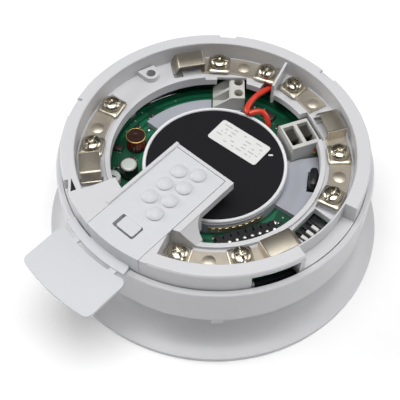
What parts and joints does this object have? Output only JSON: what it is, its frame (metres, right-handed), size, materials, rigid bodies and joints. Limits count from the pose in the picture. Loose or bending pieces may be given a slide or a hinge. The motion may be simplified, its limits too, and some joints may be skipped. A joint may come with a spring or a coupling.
{
  "type": "detector mounting base with sounder",
  "caption": "Round ceiling base with built-in sounder for a fire detector: open ring with screw terminals, contact springs and a slide-out address card.",
  "frame": {"origin": "centre of the cable entry in the flat back that meets the ceiling", "axes": "+Z out of the detector side, away from the ceiling; -Y along the address card, the way it slides out"},
  "size_m": [0.115, 0.1281, 0.0414],
  "materials": {
    "moulding_white": "satin",
    "card_white": "satin",
    "board_green": "satin",
    "chamber_grey": "satin",
    "gasket_white": "matte",
    "cap_black": "matte",
    "disc_brass": "satin",
    "label_white": "matte",
    "terminal_nickel": "satin",
    "spring_nickel": "satin",
    "washer_nickel": "polished",
    "screw_nickel": "polished",
    "block_grey": "satin",
    "cage_steel": "satin",
    "core_brown": "satin",
    "winding_red": "gloss",
    "can_aluminium": "satin",
    "component_black": "satin",
    "pin_tin": "satin",
    "chip_dark": "satin",
    "slider_white": "satin",
    "wire_red": "gloss",
    "fixing_steel": "satin"
  },
  "bodies": {
    "base": {"back_shell": "moulding_white", "sounder_housing": "moulding_white", "mounting_ring": "moulding_white", "circuit_board": "board_green", "sound_chamber": "chamber_grey", "chamber_gasket": "gasket_white", "sounder_cap": "cap_black", "piezo_disc": "disc_brass", "rating_label": "label_white", "line_in_plate": "terminal_nickel", "line_out_plate": "terminal_nickel", "common_plate": "terminal_nickel", "remote_plate": "terminal_nickel", "earth_plate": "terminal_nickel", "block_a_body": "block_grey", "block_a_cages": "cage_steel", "block_b_body": "block_grey", "block_b_cages": "cage_steel", "inductor_core": "core_brown", "inductor_winding": "winding_red", "smoothing_capacitor": "can_aluminium", "driver_transistor": "component_black", "link_header": "component_black", "header_pins": "pin_tin", "small_components": "chip_dark", "tone_switch_body": "component_black", "red_link_wire": "wire_red", "assembly_screws": "fixing_steel"},
    "washer_1": {"clamp_washer_1": "washer_nickel"},
    "screw_1": {"terminal_screw_1": "screw_nickel"},
    "washer_2": {"clamp_washer_2": "washer_nickel"},
    "screw_2": {"terminal_screw_2": "screw_nickel"},
    "washer_3": {"clamp_washer_3": "washer_nickel"},
    "screw_3": {"terminal_screw_3": "screw_nickel"},
    "washer_4": {"clamp_washer_4": "washer_nickel"},
    "screw_4": {"terminal_screw_4": "screw_nickel"},
    "washer_5": {"clamp_washer_5": "washer_nickel"},
    "screw_5": {"terminal_screw_5": "screw_nickel"},
    "washer_6": {"clamp_washer_6": "washer_nickel"},
    "screw_6": {"terminal_screw_6": "screw_nickel"},
    "washer_7": {"clamp_washer_7": "washer_nickel"},
    "screw_7": {"terminal_screw_7": "screw_nickel"},
    "washer_8": {"clamp_washer_8": "washer_nickel"},
    "screw_8": {"terminal_screw_8": "screw_nickel"},
    "washer_9": {"clamp_washer_9": "washer_nickel"},
    "screw_9": {"terminal_screw_9": "screw_nickel"},
    "spring_1": {"contact_spring_1": "spring_nickel"},
    "spring_2": {"contact_spring_2": "spring_nickel"},
    "spring_3": {"contact_spring_3": "spring_nickel"},
    "spring_4": {"contact_spring_4": "spring_nickel"},
    "block_a_screw_1": {"block_a_screw_1": "screw_nickel"},
    "block_b_screw_1": {"block_b_screw_1": "screw_nickel"},
    "block_a_screw_2": {"block_a_screw_2": "screw_nickel"},
    "block_b_screw_2": {"block_b_screw_2": "screw_nickel"},
    "tone_slider_1": {"tone_slider_1": "slider_white"},
    "tone_slider_2": {"tone_slider_2": "slider_white"},
    "tone_slider_3": {"tone_slider_3": "slider_white"},
    "card": {"address_card": "card_white"},
    "latch": {"card_latch": "card_white"}
  },
  "joints": [
    {"name": "washer_1_lift", "type": "slide", "parent": "base", "child": "washer_1", "axis": [0, 0, 1], "range_m": [0, 0.0014]},
    {"name": "screw_1_turn", "type": "hinge", "parent": "washer_1", "child": "screw_1", "pos_m": [-0.03964, -0.00828, 0.036], "axis": [0, 0, 1], "range_deg": [0, 720]},
    {"name": "washer_2_lift", "type": "slide", "parent": "base", "child": "washer_2", "axis": [0, 0, 1], "range_m": [0, 0.0014]},
    {"name": "screw_2_turn", "type": "hinge", "parent": "washer_2", "child": "screw_2", "pos_m": [-0.03209, -0.02471, 0.036], "axis": [0, 0, 1], "range_deg": [0, 720]},
    {"name": "washer_3_lift", "type": "slide", "parent": "base", "child": "washer_3", "axis": [0, 0, 1], "range_m": [0, 0.0014]},
    {"name": "screw_3_turn", "type": "hinge", "parent": "washer_3", "child": "screw_3", "pos_m": [0.01731, -0.03662, 0.036], "axis": [0, 0, 1], "range_deg": [0, 720]},
    {"name": "washer_4_lift", "type": "slide", "parent": "base", "child": "washer_4", "axis": [0, 0, 1], "range_m": [0, 0.0014]},
    {"name": "screw_4_turn", "type": "hinge", "parent": "washer_4", "child": "screw_4", "pos_m": [0.032, -0.02482, 0.036], "axis": [0, 0, 1], "range_deg": [0, 720]},
    {"name": "washer_5_lift", "type": "slide", "parent": "base", "child": "washer_5", "axis": [0, 0, 1], "range_m": [0, 0.0014]},
    {"name": "screw_5_turn", "type": "hinge", "parent": "washer_5", "child": "screw_5", "pos_m": [0.03877, 0.01171, 0.036], "axis": [0, 0, 1], "range_deg": [0, 720]},
    {"name": "washer_6_lift", "type": "slide", "parent": "base", "child": "washer_6", "axis": [0, 0, 1], "range_m": [0, 0.0014]},
    {"name": "screw_6_turn", "type": "hinge", "parent": "washer_6", "child": "screw_6", "pos_m": [0.03014, 0.02705, 0.036], "axis": [0, 0, 1], "range_deg": [0, 720]},
    {"name": "washer_7_lift", "type": "slide", "parent": "base", "child": "washer_7", "axis": [0, 0, 1], "range_m": [0, 0.0014]},
    {"name": "screw_7_turn", "type": "hinge", "parent": "washer_7", "child": "screw_7", "pos_m": [-0.01028, 0.03917, 0.036], "axis": [0, 0, 1], "range_deg": [0, 720]},
    {"name": "washer_8_lift", "type": "slide", "parent": "base", "child": "washer_8", "axis": [0, 0, 1], "range_m": [0, 0.0014]},
    {"name": "screw_8_turn", "type": "hinge", "parent": "washer_8", "child": "screw_8", "pos_m": [-0.02565, 0.03134, 0.036], "axis": [0, 0, 1], "range_deg": [0, 720]},
    {"name": "washer_9_lift", "type": "slide", "parent": "base", "child": "washer_9", "axis": [0, 0, 1], "range_m": [0, 0.0014]},
    {"name": "screw_9_turn", "type": "hinge", "parent": "washer_9", "child": "screw_9", "pos_m": [0.00049, 0.0405, 0.036], "axis": [0, 0, 1], "range_deg": [0, 720]},
    {"name": "spring_1_flex", "type": "hinge", "parent": "base", "child": "spring_1", "pos_m": [-0.02893, -0.02901, 0.0374], "axis": [-0.6374, -0.7705, 0], "range_deg": [-8, 0], "stiffness_Nm_per_rad": 0.25},
    {"name": "spring_2_flex", "type": "hinge", "parent": "base", "child": "spring_2", "pos_m": [0.03644, -0.01898, 0.0374], "axis": [0.9348, -0.3551, 0], "range_deg": [-8, 0], "stiffness_Nm_per_rad": 0.25},
    {"name": "spring_3_flex", "type": "hinge", "parent": "base", "child": "spring_3", "pos_m": [0.02464, 0.03277, 0.0374], "axis": [0.518, 0.8554, 0], "range_deg": [-8, 0], "stiffness_Nm_per_rad": 0.25},
    {"name": "spring_4_flex", "type": "hinge", "parent": "base", "child": "spring_4", "pos_m": [-0.0303, 0.02764, 0.0374], "axis": [-0.8039, 0.5948, 0], "range_deg": [-8, 0], "stiffness_Nm_per_rad": 0.25},
    {"name": "block_a_screw_1_turn", "type": "hinge", "parent": "base", "child": "block_a_screw_1", "pos_m": [-0.01336, 0.02769, 0.028], "axis": [0, 0, 1], "range_deg": [0, 720]},
    {"name": "block_b_screw_1_turn", "type": "hinge", "parent": "base", "child": "block_b_screw_1", "pos_m": [0.01256, 0.02509, 0.0276], "axis": [-0.8942, 0.4478, 0], "range_deg": [0, 720]},
    {"name": "block_a_screw_2_turn", "type": "hinge", "parent": "base", "child": "block_a_screw_2", "pos_m": [-0.0167, 0.03152, 0.028], "axis": [0, 0, 1], "range_deg": [0, 720]},
    {"name": "block_b_screw_2_turn", "type": "hinge", "parent": "base", "child": "block_b_screw_2", "pos_m": [0.01484, 0.02963, 0.0276], "axis": [-0.8942, 0.4478, 0], "range_deg": [0, 720]},
    {"name": "tone_slider_1_slide", "type": "slide", "parent": "base", "child": "tone_slider_1", "axis": [-0.9998, 0.0175, 0], "range_m": [0, 0.002]},
    {"name": "tone_slider_2_slide", "type": "slide", "parent": "base", "child": "tone_slider_2", "axis": [-0.9998, 0.0175, 0], "range_m": [0, 0.002]},
    {"name": "tone_slider_3_slide", "type": "slide", "parent": "base", "child": "tone_slider_3", "axis": [-0.9998, 0.0175, 0], "range_m": [0, 0.002]},
    {"name": "card_slide", "type": "slide", "parent": "base", "child": "card", "axis": [0, -1, 0], "range_m": [0, 0.042]},
    {"name": "card_latch_flex", "type": "hinge", "parent": "card", "child": "latch", "pos_m": [0.00205, -0.0394, 0.0386], "axis": [1, 0, 0], "range_deg": [0, 12], "stiffness_Nm_per_rad": 0.02}
  ],
  "couplings": [
    {"joint": "screw_1_turn", "follows": "washer_1_lift", "rad_per_m": 8975},
    {"joint": "screw_2_turn", "follows": "washer_2_lift", "rad_per_m": 8975},
    {"joint": "screw_3_turn", "follows": "washer_3_lift", "rad_per_m": 8975},
    {"joint": "screw_4_turn", "follows": "washer_4_lift", "rad_per_m": 8975},
    {"joint": "screw_5_turn", "follows": "washer_5_lift", "rad_per_m": 8975},
    {"joint": "screw_6_turn", "follows": "washer_6_lift", "rad_per_m": 8975},
    {"joint": "screw_7_turn", "follows": "washer_7_lift", "rad_per_m": 8975},
    {"joint": "screw_8_turn", "follows": "washer_8_lift", "rad_per_m": 8975},
    {"joint": "screw_9_turn", "follows": "washer_9_lift", "rad_per_m": 8975}
  ]
}
